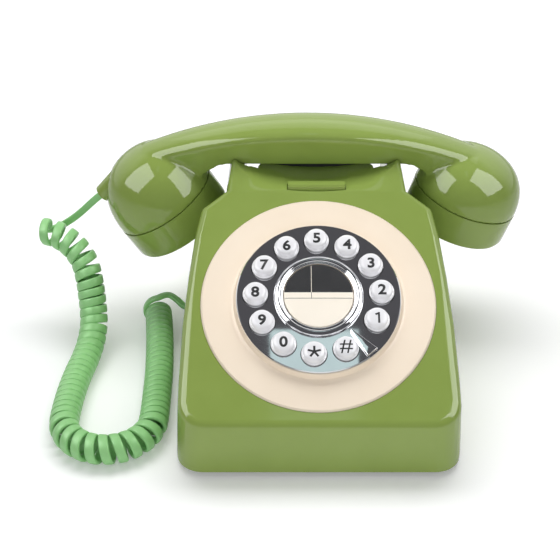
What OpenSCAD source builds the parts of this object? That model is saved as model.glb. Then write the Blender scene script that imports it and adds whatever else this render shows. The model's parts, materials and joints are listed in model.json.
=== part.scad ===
// Push-button desk telephone: moulded case, ring of twelve buttons, lift-off handset and curly cord.
// Millimetres, +Z up, the dial faces -Y, and the feet stand on z = 0.

/* [Case] */
// Width of the case at the front
case_w = 155; // [150:1:165]
// Width of the case at the back
case_rear_w = 138; // [134:1:150]
// Depth of the case
case_d = 216; // [212:1:230]
// Height of the case's lower edge
base_z = 3.5; // [3:0.5:5]
// Height of the crease between the front and the sloping face
front_h = 36.4; // [35:0.2:40]
// Slope of the face that carries the dial
face_angle = 28.6; // [28:0.1:29]
// Width across the shoulders
shoulder_w = 133.4; // [130:0.2:136]
// Distance up the face from the front crease to the shoulders
shoulder_run = 136; // [134:0.5:137]
// Rise of the shoulders from their corners to the neck
shoulder_rise = 2.5; // [2:0.25:3]
// Thickness of the moulding
wall = 2.6; // [2:0.1:3]
// Rounding of the long edges
edge_r = 5; // [4:0.5:6]
// Corner radius in plan
corner_r = 15; // [13:0.5:18]
// Height of the low part of the case under the handset cups
skirt_h = 44; // [40:1:46]
// Back of the shoulders, where the low part begins
shoulder_back_y = 14; // [12:0.5:15]

/* [Cradle] */
// Width of the neck at the foot of the horns
neck_w = 105; // [103:0.5:106]
// Width across the tips of the horns
horn_w = 99; // [97:0.5:101]
// Distance up the face from the front crease to the horn tips
horn_run = 164; // [163:0.5:166]
// Rounding of the horns
horn_r = 2.2; // [1.8:0.1:2.4]
// Half width of the curved trough between the horns
trough_a = 50; // [49:0.2:51]
// Rise of the curved trough at its full half width
trough_b = 15.5; // [14:0.5:16]
// Lowest level of the trough
trough_z = 104.8; // [104:0.2:105.5]
// Back edge of the trough's tongue
tongue_back_y = 48.5; // [46:0.5:50]
// Width of the tongue at its back
tongue_w = 68; // [62:1:72]
// Level of the two saddles that carry the handset
saddle_z = 110.2; // [110:0.1:110.6]
// Length of the saddles from front to back
saddle_d = 36; // [34:0.5:38]
// Inner width of the carrying recess behind the tongue
recess_w = 84; // [78:1:86]
// Level of the recess floor at the tongue
recess_z = 80; // [74:1:84]
// Slope of the recess floor
recess_slope = 14; // [10:1:16]

/* [Dial] */
// Distance up the face from the front crease to the dial centre
dial_run = 72.4; // [72:0.1:73]
// Radius of the cream plate
plate_r = 65; // [63:0.5:66]
// Height of the plate's rim above the face
plate_rim = 1.0; // [0.6:0.1:1.4]
// Thickness of the plate
plate_t = 2.6; // [2.2:0.1:3]
// Radius of the plate's raised boss
boss_r = 46; // [45.9:0.1:46.6]
// Height of the boss above the face
boss_h = 5.5; // [5:0.1:6]
// Radius of the bright disc
disc_r = 45.2; // [44.6:0.1:45.4]
// Thickness of the bright disc
disc_t = 1.3; // [1:0.1:1.6]
// Radius of the ring of buttons
button_circle_r = 34.6; // [34.4:0.1:34.8]
// Diameter of a button
button_d = 13.8; // [13:0.1:14]
// Height of a button's crown above the disc
button_h = 5.4; // [5:0.1:6]
// Travel of a button
button_travel = 1.5; // [1:0.1:1.6]
// Angle of the first button, from the right
button_start = -24.8; // [-26:0.2:-24]
// Angle between two buttons
button_step = 29; // [28.8:0.1:29.2]
// Outer radius of the centre ring
ring_r = 24.5; // [24.2:0.1:25]
// Inner radius of the centre ring
ring_bore_r = 19.4; // [19:0.1:19.8]
// Height of the centre ring above the disc
ring_h = 2.6; // [2.2:0.1:3]
// Travel of the redial button
redial_travel = 1.2; // [1:0.1:1.4]
// Length of the finger stop
stop_len = 17.5; // [16:0.5:18]
// Width of the finger stop at its foot
stop_w = 7; // [6:0.2:7.4]
// Height of the finger stop above the disc
stop_h = 2.4; // [2:0.1:3]

/* [Handset] */
// Front to back position of the handset's middle
handset_y = 51; // [50:0.5:52]
// Height of the handle at its middle
handle_h = 25.5; // [25:0.5:27]
// Greatest depth of the handle, front to back
handle_d = 32; // [30:0.5:33]
// Depth of the handle where it runs into the cups
handle_end_d = 23; // [22:0.5:25]
// Depth of the handle's flat underside
handle_base_d = 20; // [18:0.5:22]
// Radius of the handle's arched top
handle_arch_r = 260; // [256:1:280]
// Sideways offset of the arch's highest point
handle_arch_x = -5.5; // [-6:0.1:-5]
// Height of the domed top above the handle's side crease
handle_crown = 6.5; // [6:0.1:7.5]
// Radius of the cups at their seams
cup_r = 32.4; // [32:0.1:33]
// Sideways position of the mouth cup's seam centre
mouth_x = -91; // [-91.5:0.1:-90.5]
// Drop of the mouth cup's seam centre below the handle's underside
mouth_drop = 29.3; // [29:0.1:29.6]
// Inward tilt of the mouth cup
mouth_tilt = 32.4; // [32:0.2:33]
// Height of the mouth cup's dome
mouth_dome = 37; // [36:0.5:38]
// Sideways position of the ear cup's seam centre
ear_x = 91.4; // [91:0.1:92]
// Drop of the ear cup's seam centre below the handle's underside
ear_drop = 25.3; // [25:0.1:25.6]
// Inward tilt of the ear cup
ear_tilt = 18.4; // [18:0.2:19]
// Height of the ear cup's dome
ear_dome = 30; // [29:0.5:31]
// Height of the screwed caps
cap_h = 20; // [19:0.5:21]
// Radius of the caps at their flat ends
cap_end_r = 31; // [30:0.5:31.2]
// Radius of the bore in each cup
cup_bore_r = 27; // [26.5:0.1:27.5]
// Depth of the bore in each cup
cup_bore_d = 15; // [14:0.5:16]

/* [Hook] */
// Length of the hook bar
hook_l = 33; // [30:0.5:36]
// Thickness of the hook bar
hook_t = 6.4; // [6:0.2:7]
// Height of the hook bar above the trough with the handset down
hook_proud = 3.5; // [3:0.1:4]
// Rise of the hook bar when the handset is lifted
hook_travel = 4; // [3:0.5:4.5]

/* [Cord] */
// Width of the flat cord
cord_w = 4.4; // [4.2:0.1:4.6]
// Thickness of the flat cord
cord_t = 2.6; // [2.2:0.1:2.8]
// Outer radius of the curls
curl_r = 8.4; // [8.2:0.1:8.5]
// Space added between neighbouring curls
curl_gap = 0.1; // [0:0.05:0.4]
// Extra pitch of the hanging curls, for each millimetre that they hang above the floor
curl_stretch = 0.025; // [0.02:0.005:0.04]

/* [Fits] */
// Clearance round sliding pieces
slide_gap = 0.4; // [0.3:0.05:0.5]
// Clearance between seated mouldings
seat_gap = 0.2; // [0.1:0.05:0.3]
// Clearance of a running pin in its bore
pin_gap = 0.05; // [0.03:0.01:0.1]
// Diameter of the self-tapping screws
screw_d = 3; // [2.6:0.1:3.2]

/* [Hidden] */

front_y = -case_d / 2;
back_y = case_d / 2;
case_green = "#8fa24f";
dark_plastic = "#2c2d2f";
chrome = "#b9bbbd";
steel = "#a5a7a9";
board_green = "#2f6b3c";
eps = 0.02;
quarter_turn = 90;
half_turn = 180;
round_fn = 64;
soft_fn = 24;

// Sloping face
function face_z(y) = front_h + (y - front_y) * tan(face_angle);
function run_y(run) = front_y + run * cos(face_angle);
face_half_w = case_w / 2 - 1.7;
face_wide_run = 25;
face_steps = [face_wide_run, 60, 90, 115];
function face_share(run) = pow((run - face_wide_run) / (shoulder_run - face_wide_run), 1.9);
function face_half(run) = face_half_w - (face_half_w - shoulder_w / 2) * face_share(run);
neck_run = shoulder_run + edge_r + shoulder_rise;
soft_run = corner_r - edge_r + edge_r * (1 - sin(face_angle)) / cos(face_angle);
function side_half(y) = case_w / 2 + (case_rear_w - case_w) / 2 * (y - front_y) / case_d;

module on_face(x, run, h = 0) {
  translate([x, run_y(run), face_z(run_y(run))])
    rotate([face_angle, 0, 0])
      translate([0, 0, h])
        children();
}

module at_dial(h = 0) {
  on_face(0, dial_run, h)
    children();
}

module both_sides() {
  children();
  mirror([1, 0, 0])
    children();
}

module screw(length, head_d, head_h) {
  translate([0, 0, -eps])
    cylinder(d = screw_d, h = length + eps, $fn = round_fn);
  translate([0, 0, -head_h])
    cylinder(d = head_d, h = head_h, $fn = round_fn);
}

// Case
neck_back_y = 78;
neck_foot_y = 100;
neck_foot_w = neck_w + 3;
skirt_back_drop = 6;
least_r = 0.2;
saddle_front_y = run_y(horn_run) + horn_r;
recess_front_y = tongue_back_y - 9;
tongue_corner_r = 8;
post_r = 4.6;
post_front_y = front_y + 34;
post_back_y = back_y - 38;
post_front_x = case_w / 2 - 16;
post_back_x = case_rear_w / 2 - 9;
post_spots = [[post_front_x, post_front_y], [-post_front_x, post_front_y],
              [post_back_x, post_back_y], [-post_back_x, post_back_y]];
base_t = 3;
base_top = base_z + base_t;
collar_r = plate_r + 4;
collar_bore_r = plate_r - 5;
collar_t = 3;
plate_seat = plate_t - plate_rim;

module soft_corner(inset) {
  rotate_extrude($fn = soft_fn)
    translate([corner_r - edge_r, 0])
      circle(r = edge_r - inset, $fn = soft_fn);
}

module wedge(inset) {
  hull() {
    both_sides() {
      translate([case_w / 2 - corner_r, front_y + corner_r, 0])
        cylinder(r = corner_r - inset, h = base_z + edge_r, $fn = 2 * soft_fn);
      on_face(face_half_w - corner_r, soft_run, -edge_r)
        soft_corner(inset);
      for (run = face_steps)
        on_face(face_half(run) - edge_r, run, -edge_r)
          sphere(r = edge_r - inset, $fn = soft_fn);
      on_face(shoulder_w / 2 - edge_r, shoulder_run - edge_r, -edge_r)
        sphere(r = edge_r - inset, $fn = soft_fn);
      on_face(neck_w / 2 - edge_r, neck_run, -edge_r)
        sphere(r = edge_r - inset, $fn = soft_fn);
      translate([side_half(shoulder_back_y) - corner_r, shoulder_back_y - corner_r, 0])
        cylinder(r = corner_r - inset, h = skirt_h, $fn = 2 * soft_fn);
    }
  }
}

module skirt(inset) {
  hull() {
    both_sides() {
      translate([case_w / 2 - corner_r, front_y + corner_r, 0])
        cylinder(r = corner_r - inset, h = base_z + edge_r, $fn = 2 * soft_fn);
      translate([case_rear_w / 2 - corner_r, back_y - corner_r, 0])
        cylinder(r = corner_r - inset, h = base_z + edge_r, $fn = 2 * soft_fn);
      translate([case_rear_w / 2 - corner_r, back_y - corner_r, skirt_h - skirt_back_drop - edge_r])
        soft_corner(inset);
      translate([side_half(0) - corner_r, -corner_r, skirt_h - edge_r])
        soft_corner(inset);
    }
  }
}

module neck(inset) {
  r = max(least_r, horn_r - inset);
  pull = inset - horn_r + r;
  hull() {
    both_sides() {
      on_face(horn_w / 2 - horn_r - pull, horn_run - pull, -horn_r - pull)
        sphere(r = r, $fn = soft_fn);
      on_face(neck_w / 2 - edge_r, neck_run, -edge_r)
        sphere(r = edge_r - inset, $fn = soft_fn);
      translate([horn_w / 2 - horn_r - pull, neck_back_y - horn_r - pull, saddle_z + horn_r - pull])
        sphere(r = r, $fn = soft_fn);
      translate([neck_foot_w / 2 - edge_r, neck_foot_y - edge_r, skirt_h - skirt_back_drop])
        sphere(r = edge_r - inset, $fn = soft_fn);
      translate([neck_foot_w / 2 - edge_r, 0, skirt_h])
        sphere(r = edge_r - inset, $fn = soft_fn);
    }
  }
}

trough_steps = 32;
function trough_point(i, grow) =
  let (a = 180 + 180 * i / trough_steps)
  [(trough_a + grow) * cos(a), (trough_b + grow) * sin(a)];

module trough(grow) {
  translate([0, 2 * back_y, trough_z + trough_b])
    rotate([90, 0, 0])
      linear_extrude(2 * case_d)
        polygon(concat([for (i = [0:trough_steps]) trough_point(i, grow)],
                       [[trough_a + grow, 2 * trough_b], [-trough_a - grow, 2 * trough_b]]));
}

module recess_plan(grow) {
  difference() {
    translate([-recess_w / 2 - grow, recess_front_y - grow])
      square([recess_w + 2 * grow, case_d]);
    translate([0, tongue_back_y - grow - tongue_corner_r])
      both_sides()
        translate([tongue_w / 2 - grow - tongue_corner_r, 0])
          circle(r = tongue_corner_r, $fn = round_fn);
    translate([-tongue_w / 2 + grow, -case_d])
      square([tongue_w - 2 * grow, case_d + tongue_back_y - grow - tongue_corner_r]);
    translate([-tongue_w / 2 + grow + tongue_corner_r, -case_d])
      square([tongue_w - 2 * grow - 2 * tongue_corner_r, case_d + tongue_back_y - grow]);
  }
}

module recess(grow) {
  difference() {
    translate([0, 0, recess_z - recess_w - grow])
      linear_extrude(2 * recess_w)
        recess_plan(grow);
    translate([0, recess_front_y, recess_z - grow])
      rotate([-recess_slope, 0, 0])
        translate([-case_w, -case_d, -case_w])
          cube([2 * case_w, 3 * case_d, case_w]);
  }
}

module saddle() {
  translate([-case_w / 2, saddle_front_y, saddle_z])
    cube([case_w, saddle_d, case_w]);
}

module below(level) {
  translate([-case_w, -case_d, level - case_w])
    cube([2 * case_w, 2 * case_d, case_w]);
}

module case_form(inset) {
  wedge(inset);
  skirt(inset);
  neck(inset);
}

module dial_collar() {
  at_dial(-plate_seat - collar_t)
    cylinder(r = collar_r, h = collar_t + plate_seat, $fn = 2 * round_fn);
}

module dial_opening() {
  at_dial(-plate_seat - seat_gap)
    cylinder(r = plate_r + seat_gap, h = corner_r, $fn = 2 * round_fn);
  at_dial(-collar_r)
    cylinder(r = collar_bore_r, h = 2 * collar_r, $fn = 2 * round_fn);
  at_dial(-plate_seat - collar_t)
    dial_screw_spots()
      cylinder(d = screw_d + 2 * seat_gap, h = 2 * collar_t, center = true, $fn = soft_fn);
}

module case_posts() {
  for (spot = post_spots)
    translate([spot[0], spot[1], base_top])
      cylinder(r = post_r, h = case_w, $fn = soft_fn);
  hook_boss_spots()
    translate([0, 0, hook_boss_z])
      cylinder(r = hook_boss_r, h = trough_z - hook_boss_z, $fn = soft_fn);
}

module case_shell() {
  color(case_green)
    difference() {
      union() {
        difference() {
          case_form(0);
          difference() {
            case_form(wall);
            trough(wall);
            recess(wall);
          }
        }
        intersection() {
          case_form(wall / 2);
          union() {
            case_posts();
            dial_collar();
          }
        }
      }
      trough(0);
      recess(0);
      saddle();
      below(base_z);
      dial_opening();
      for (spot = post_spots)
        translate([spot[0], spot[1], base_top - eps])
          cylinder(d = screw_d + 2 * pin_gap, h = base_screw_l, $fn = soft_fn);
      translate([-hook_l / 2 - slide_gap, hook_y - hook_t / 2 - slide_gap, hook_boss_z])
        cube([hook_l + 2 * slide_gap, hook_t + 2 * slide_gap, case_w]);
      hook_boss_spots()
        translate([0, 0, hook_boss_z - eps])
          cylinder(d = screw_d + 2 * pin_gap, h = hook_screw_l, $fn = soft_fn);
      translate([-case_w, socket_y - plug_w / 2 - seat_gap, socket_z - plug_h / 2 - seat_gap])
        cube([case_w, plug_w + 2 * seat_gap, plug_h + 2 * seat_gap]);
      translate([line_x - line_w / 2, 0, base_top - seat_gap])
        cube([line_w, case_d, socket_z + line_h / 2 - base_top + seat_gap]);
    }
}

// Base
foot_r = 8;
foot_sunk = 1;
foot_front_y = front_y + 11.2;
foot_back_y = back_y - 16;
foot_front_x = case_w / 2 - 16;
foot_back_x = case_rear_w / 2 - 18;
foot_spots = [[foot_front_x, foot_front_y], [-foot_front_x, foot_front_y],
              [foot_back_x, foot_back_y], [-foot_back_x, foot_back_y]];
base_screw_l = 12;
base_head_d = 6;
base_head_h = 1.8;
base_inset = wall + seat_gap;
ballast_w = 70;
ballast_d = 34;
ballast_t = 5;
ballast_in = 100;
ballast_y = back_y - ballast_in;
switch_slot_l = 10;
switch_slot_w = 4.4;
switch_x = 22;
switch_in = 44;
switch_y = back_y - switch_in;
switch_travel = 2;
switch_room = 1;
switch_plate_t = 2;
switch_proud = 1.2;
corner_steps = 10;

function corner_arc(x, y, r, from) =
  [for (i = [0:corner_steps])
    let (a = from + quarter_turn * i / corner_steps)
    [x + r * cos(a), y + r * sin(a)]];

module plan_outline(inset) {
  r = corner_r - inset;
  fx = case_w / 2 - corner_r;
  rx = case_rear_w / 2 - corner_r;
  polygon(concat(corner_arc(rx, back_y - corner_r, r, 0), corner_arc(-rx, back_y - corner_r, r, 90),
                 corner_arc(-fx, front_y + corner_r, r, 180), corner_arc(fx, front_y + corner_r, r, 270)));
}

module base_plate() {
  color(dark_plastic)
    difference() {
      union() {
        translate([0, 0, base_z])
          linear_extrude(base_t)
            plan_outline(base_inset);
        board_post_spots()
          translate([0, 0, base_top - eps])
            cylinder(r = board_post_r, h = board_z - base_top + eps, $fn = round_fn);
      }
      for (spot = foot_spots)
        translate([spot[0], spot[1], base_z - eps])
          cylinder(r = foot_r + seat_gap, h = foot_sunk + eps, $fn = round_fn);
      for (spot = post_spots) {
        translate([spot[0], spot[1], 0])
          cylinder(d = screw_d + 2 * seat_gap, h = 2 * base_top, $fn = round_fn);
        translate([spot[0], spot[1], 0])
          cylinder(d = base_head_d + 2 * seat_gap, h = base_z + base_head_h, $fn = round_fn);
      }
      board_post_spots()
        translate([0, 0, base_top])
          cylinder(d = screw_d + eps, h = board_z, $fn = round_fn);
      for (s = [-1, 1])
        translate([s * switch_x - switch_slot_w / 2, switch_y - switch_slot_l / 2, 0])
          cube([switch_slot_w, switch_slot_l, 2 * base_top]);
    }
}

module rubber_feet() {
  bevel = 1.2;
  color("#1f1f20")
    for (spot = foot_spots)
      translate([spot[0], spot[1], 0])
        rotate_extrude($fn = round_fn)
          polygon([[0, 0], [foot_r - bevel, 0], [foot_r, bevel], [foot_r, base_z + foot_sunk],
                   [0, base_z + foot_sunk]]);
}

module base_screws() {
  color(steel)
    for (spot = post_spots)
      translate([spot[0], spot[1], base_z + base_head_h])
        screw(base_screw_l, base_head_d, base_head_h - seat_gap);
}

module ballast_plate() {
  color(steel)
    translate([-ballast_w / 2, ballast_y - ballast_d / 2, base_top])
      cube([ballast_w, ballast_d, ballast_t]);
}

module slide_switch(side) {
  cap_w = switch_slot_w - 2 * slide_gap;
  cap_l = switch_slot_l - 2 * switch_travel - 2 * slide_gap;
  plate_l = switch_slot_l + 2 * switch_travel;
  color(dark_plastic)
    translate([side * switch_x, switch_y, 0]) {
      translate([-cap_w / 2, -cap_l / 2, base_z - switch_proud])
        cube([cap_w, cap_l, base_t + switch_proud + slide_gap]);
      translate([-switch_slot_w, -plate_l / 2, base_top + slide_gap])
        cube([2 * switch_slot_w, plate_l, switch_plate_t]);
    }
}

module level_switch() {
  slide_switch(-1);
}

module tone_switch() {
  slide_switch(1);
}

// Dial
disc_z = boss_h;
disc_top = boss_h + disc_t;
disc_bore_r = ring_bore_r + 2.4;
button_r = button_d / 2;
button_flange_r = button_r + 1.2;
button_flange_t = 1.4;
button_crown = 1.9;
stem_r = 3;
stem_l = 1.2;
keypad_z = -3.2;
mat_t = 1.2;
keypad_board_t = 1.6;
keypad_bite = 3;
keypad_board_r = plate_r - 9;
keypad_screw_r = keypad_board_r - 4;
tube_t = 2.8;
tube_bore_r = boss_r - tube_t;
dial_screw_r = plate_r - 2.5;
dial_screw_l = collar_t + plate_seat - seat_gap;
dial_head_h = 1.6;
dial_head_d = 5;

module dial_screw_spots() {
  for (a = [45:90:315])
    rotate(a)
      translate([dial_screw_r, 0])
        children();
}

module keypad_screw_spots() {
  for (a = [0:90:270])
    rotate(a)
      translate([keypad_screw_r, 0])
        children();
}

module button_spot(i) {
  rotate(button_start + button_step * i)
    translate([button_circle_r, 0])
      children();
}

module dial_plate() {
  edge = 0.9;
  boss_edge = 0.5;
  fillet = 3;
  color("#f7e8d3")
    at_dial()
      difference() {
        union() {
          rotate_extrude($fn = 2 * round_fn)
            polygon([[tube_bore_r, keypad_z], [boss_r, keypad_z], [boss_r, -plate_seat],
                     [plate_r, -plate_seat], [plate_r, plate_rim - edge], [plate_r - edge, plate_rim],
                     [boss_r + fillet, plate_rim],
                     [boss_r + edge, plate_rim + edge], [boss_r, boss_h - boss_edge],
                     [boss_r - boss_edge, boss_h],
                     [tube_bore_r, boss_h]]);
          keypad_screw_spots()
            translate([0, 0, keypad_z])
              cylinder(r = screw_d, h = -keypad_z - plate_seat + eps, $fn = round_fn);
        }
        keypad_screw_spots()
          translate([0, 0, keypad_z - eps])
            cylinder(d = screw_d + eps, h = keypad_bite + seat_gap, $fn = round_fn);
        dial_screw_spots()
          translate([0, 0, -plate_seat - eps])
            cylinder(d = screw_d + eps, h = plate_seat, $fn = round_fn);
      }
}

module dial_disc() {
  edge = 0.5;
  color(chrome)
    at_dial(disc_z)
      difference() {
        rotate_extrude($fn = 2 * round_fn)
          polygon([[disc_bore_r, 0], [disc_r, 0], [disc_r, disc_t - edge], [disc_r - edge, disc_t],
                   [disc_bore_r, disc_t]]);
        for (i = [0:11])
          button_spot(i)
            translate([0, 0, -eps])
              cylinder(r = button_r + slide_gap, h = 2 * disc_t, $fn = round_fn);
      }
}

module finger_stop() {
  angle = -50;
  tip_w = 1.2;
  steps = 12;
  function half_w(t) = tip_w / 2 + (stop_w - tip_w) / 2 * pow(1 - t, 1.2);
  function edge_point(t, side) = [disc_r - 1 - stop_len * t, side * half_w(t)];
  color(chrome)
    at_dial(disc_top)
      rotate(angle)
        linear_extrude(stop_h)
          polygon(concat([for (i = [0:steps]) edge_point(i / steps, -1)],
                         [for (i = [steps:-1:0]) edge_point(i / steps, 1)]));
}

module centre_ring() {
  bevel = 1.4;
  foot_h = 0.6;
  color(chrome)
    at_dial(disc_top)
      rotate_extrude($fn = 2 * round_fn)
        polygon([[ring_bore_r, 0], [ring_r, 0], [ring_r, foot_h], [ring_r - bevel / 2, ring_h - bevel / 3],
                 [ring_r - bevel, ring_h], [ring_bore_r + bevel, ring_h], [ring_bore_r, ring_h - bevel]]);
}

redial_r = ring_bore_r - slide_gap;
redial_sunk = 1.3;
redial_face = disc_top + ring_h - redial_sunk;
card_t = 0.3;
lens_h = 2.1;
redial_flange_t = 1.6;
redial_flange_r = ring_bore_r + 1.6;
redial_flange_top = disc_top - seat_gap;
redial_flange_z = redial_flange_top - redial_flange_t;
redial_stem_z = redial_flange_z - stem_l;

module redial_button() {
  color("#efe3cf")
    at_dial()
      rotate_extrude($fn = 2 * round_fn)
        polygon([[0, redial_stem_z], [stem_r, redial_stem_z], [stem_r, redial_flange_z],
                 [redial_flange_r, redial_flange_z], [redial_flange_r, redial_flange_top],
                 [redial_r, redial_flange_top], [redial_r, redial_face], [0, redial_face]]);
}

module redial_card() {
  color("#3a3a3c")
    at_dial(redial_face)
      cylinder(r = redial_r, h = card_t, $fn = 2 * round_fn);
}

module redial_lens() {
  dome_r = (redial_r * redial_r + lens_h * lens_h) / (2 * lens_h);
  half_arc = asin(redial_r / dome_r);
  arc_steps = 10;
  color([0.9, 0.95, 0.97, 0.35])
    at_dial(redial_face + card_t)
      rotate_extrude($fn = 2 * round_fn)
        polygon(concat([[0, 0]],
                       [for (i = [arc_steps:-1:1])
                         let (a = half_arc * i / arc_steps)
                         [dome_r * sin(a), lens_h - dome_r + dome_r * cos(a)]],
                       [[0, lens_h]]));
}

module button(i) {
  flange_top = disc_z - seat_gap;
  flange_z = flange_top - button_flange_t;
  top = disc_top + button_h;
  brow = 1.2;
  dome_r = 3.8;
  color("#ecebef")
    at_dial()
      button_spot(i)
        rotate_extrude($fn = round_fn)
          polygon([[0, flange_z - stem_l], [stem_r, flange_z - stem_l], [stem_r, flange_z],
                   [button_flange_r, flange_z], [button_flange_r, flange_top], [button_r, flange_top],
                   [button_r, top - button_crown], [button_r - brow / 3, top - button_crown + brow * 2 / 3],
                   [button_r - brow, top - button_crown + brow], [dome_r, top - button_crown / 5],
                   [0, top]]);
}

module button_1() {
  button(0);
}

module button_2() {
  button(1);
}

module button_3() {
  button(2);
}

module button_4() {
  button(3);
}

module button_5() {
  button(4);
}

module button_6() {
  button(5);
}

module button_7() {
  button(6);
}

module button_8() {
  button(7);
}

module button_9() {
  button(8);
}

module button_0() {
  button(9);
}

module button_star() {
  button(10);
}

module button_hash() {
  button(11);
}

module keypad_mat() {
  dome_r = 5;
  dome_top = disc_z - seat_gap - button_flange_t - stem_l - button_travel - seat_gap;
  middle_top = redial_stem_z - redial_travel - seat_gap;
  color("#55565a")
    at_dial(keypad_z) {
      cylinder(r = tube_bore_r - seat_gap, h = mat_t, $fn = round_fn);
      for (i = [0:11])
        button_spot(i)
          cylinder(r1 = dome_r, r2 = stem_r, h = dome_top - keypad_z, $fn = round_fn);
      cylinder(r1 = dome_r, r2 = stem_r, h = middle_top - keypad_z, $fn = round_fn);
    }
}

module keypad_board() {
  color(board_green)
    at_dial(keypad_z - keypad_board_t)
      difference() {
        cylinder(r = keypad_board_r, h = keypad_board_t, $fn = 2 * round_fn);
        keypad_screw_spots()
          translate([0, 0, -eps])
            cylinder(d = screw_d + 2 * seat_gap, h = 2 * keypad_board_t, $fn = round_fn);
      }
}

module keypad_screws() {
  color(steel)
    at_dial(keypad_z - keypad_board_t)
      keypad_screw_spots()
        screw(keypad_board_t + keypad_bite, dial_head_d, dial_head_h);
}

module dial_screws() {
  color(steel)
    at_dial(-plate_seat - collar_t)
      dial_screw_spots()
        screw(dial_screw_l, dial_head_d, dial_head_h);
}

// Hook bar under the handset
hook_y = run_y(horn_run) - 13;
hook_top = trough_z + hook_proud;
hook_boss_r = 4;
hook_boss_x = hook_l / 2 + 9;
hook_boss_z = trough_z - 11;
hook_screw_l = 8;
hook_flange_t = 3;
hook_lip = 2;
spring_l = 6;
spring_t = 1.2;
hook_flange_top = hook_boss_z - hook_travel - slide_gap;
hook_stem_r = 2.5;
bracket_t = 3;
bracket_floor = hook_flange_top - hook_flange_t - spring_l;
bracket_half = hook_l / 2 + hook_lip + slide_gap;
bracket_d = hook_t + 8;
hook_stem_end = bracket_floor - bracket_t - 4;

module hook_boss_spots() {
  for (s = [-1, 1])
    translate([s * hook_boss_x, hook_y, 0])
      children();
}

module hook_bar() {
  bevel = 1.6;
  color(case_green)
    translate([0, hook_y, 0]) {
      difference() {
        translate([-hook_l / 2, -hook_t / 2, hook_flange_top - eps])
          cube([hook_l, hook_t, hook_top - hook_flange_top + eps]);
        for (s = [-1, 1])
          translate([0, s * hook_t / 2, hook_top])
            rotate([45, 0, 0])
              cube([2 * hook_l, bevel, bevel], center = true);
      }
      translate([-hook_l / 2 - hook_lip, -hook_t / 2 - hook_lip, hook_flange_top - hook_flange_t])
        cube([hook_l + 2 * hook_lip, hook_t + 2 * hook_lip, hook_flange_t]);
      translate([0, 0, hook_stem_end])
        cylinder(r = hook_stem_r, h = hook_flange_top - hook_flange_t - hook_stem_end + eps, $fn = round_fn);
    }
}

module hook_bracket() {
  wall_x = bracket_half + bracket_t / 2;
  ear_w = hook_boss_x + hook_boss_r - bracket_half;
  color(dark_plastic)
    difference() {
      translate([0, hook_y, 0]) {
        translate([-bracket_half - bracket_t, -bracket_d / 2, bracket_floor - bracket_t])
          cube([2 * (bracket_half + bracket_t), bracket_d, bracket_t]);
        for (s = [-1, 1]) {
          translate([s * wall_x - bracket_t / 2, -bracket_d / 2, bracket_floor - eps])
            cube([bracket_t, bracket_d, hook_boss_z - bracket_floor + eps]);
          translate([s * (bracket_half + ear_w / 2) - ear_w / 2, -bracket_d / 2, hook_boss_z - bracket_t])
            cube([ear_w, bracket_d, bracket_t]);
        }
      }
      translate([0, hook_y, bracket_floor - 2 * bracket_t])
        cylinder(r = hook_stem_r + pin_gap, h = 4 * bracket_t, $fn = round_fn);
      hook_boss_spots()
        translate([0, 0, hook_boss_z - 2 * bracket_t])
          cylinder(d = screw_d + 2 * seat_gap, h = 4 * bracket_t, $fn = round_fn);
    }
}

module hook_spring() {
  spring_r = hook_stem_r + slide_gap + spring_t;
  color(steel)
    translate([0, hook_y, bracket_floor])
      difference() {
        cylinder(r = spring_r, h = spring_l, $fn = round_fn);
        translate([0, 0, -eps])
          cylinder(r = hook_stem_r + slide_gap, h = case_w, $fn = round_fn);
      }
}

hook_switch_l = 20;
hook_switch_h = 9;
hook_switch_top = hook_stem_end - 1.5;
hook_leg_t = 3;

module hook_switch() {
  leg_x = (hook_switch_l - hook_leg_t) / 2;
  color("#3b3b40")
    translate([0, hook_y, 0]) {
      translate([-hook_switch_l / 2, -bracket_d / 2, hook_switch_top - hook_switch_h])
        cube([hook_switch_l, bracket_d, hook_switch_h]);
      translate([0, 0, hook_switch_top - eps])
        cylinder(r = hook_stem_r, h = hook_stem_end - seat_gap - hook_switch_top + eps, $fn = round_fn);
      for (s = [-1, 1])
        translate([s * leg_x - hook_leg_t / 2, -bracket_d / 2, hook_switch_top - eps])
          cube([hook_leg_t, bracket_d, bracket_floor - bracket_t - hook_switch_top + eps]);
    }
}

module hook_screws() {
  color(steel)
    hook_boss_spots()
      translate([0, 0, hook_boss_z - bracket_t])
        screw(hook_screw_l, dial_head_d, dial_head_h);
}

// Main board
board_w = 96;
board_d = 44;
board_t = 1.6;
board_in = 52;
board_y = front_y + board_in;
board_z = base_top + 6;
board_post_r = 3.4;
board_post_in = 5;
board_screw_l = 6.6;

module board_post_spots() {
  for (sx = [-1, 1])
    for (sy = [-1, 1])
      translate([sx * (board_w / 2 - board_post_in), board_y + sy * (board_d / 2 - board_post_in), 0])
        children();
}

module main_board() {
  color(board_green)
    difference() {
      translate([-board_w / 2, board_y - board_d / 2, board_z])
        cube([board_w, board_d, board_t]);
      board_post_spots()
        translate([0, 0, board_z - eps])
          cylinder(d = screw_d + 2 * seat_gap, h = 2 * board_t, $fn = round_fn);
    }
}

// Corner, size of each boxed part on the board
board_boxes = [[[-12, -6], [26, 12, 4]], [[22, -10], [14, 16, 10]], [[-32, -14], [12, 9, 5]]];
can_spots = [[-30, 6], [-22, 6]];
can_r = 3.2;
can_h = 11;

module board_parts() {
  color("#26272b")
    translate([0, board_y, board_z + board_t]) {
      for (part = board_boxes)
        translate(part[0])
          cube(part[1]);
      for (spot = can_spots)
        translate(spot)
          cylinder(r = can_r, h = can_h, $fn = round_fn);
    }
}

module board_screws() {
  color(steel)
    board_post_spots()
      translate([0, 0, board_z + board_t])
        mirror([0, 0, 1])
          screw(board_screw_l, dial_head_d, dial_head_h);
}

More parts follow.
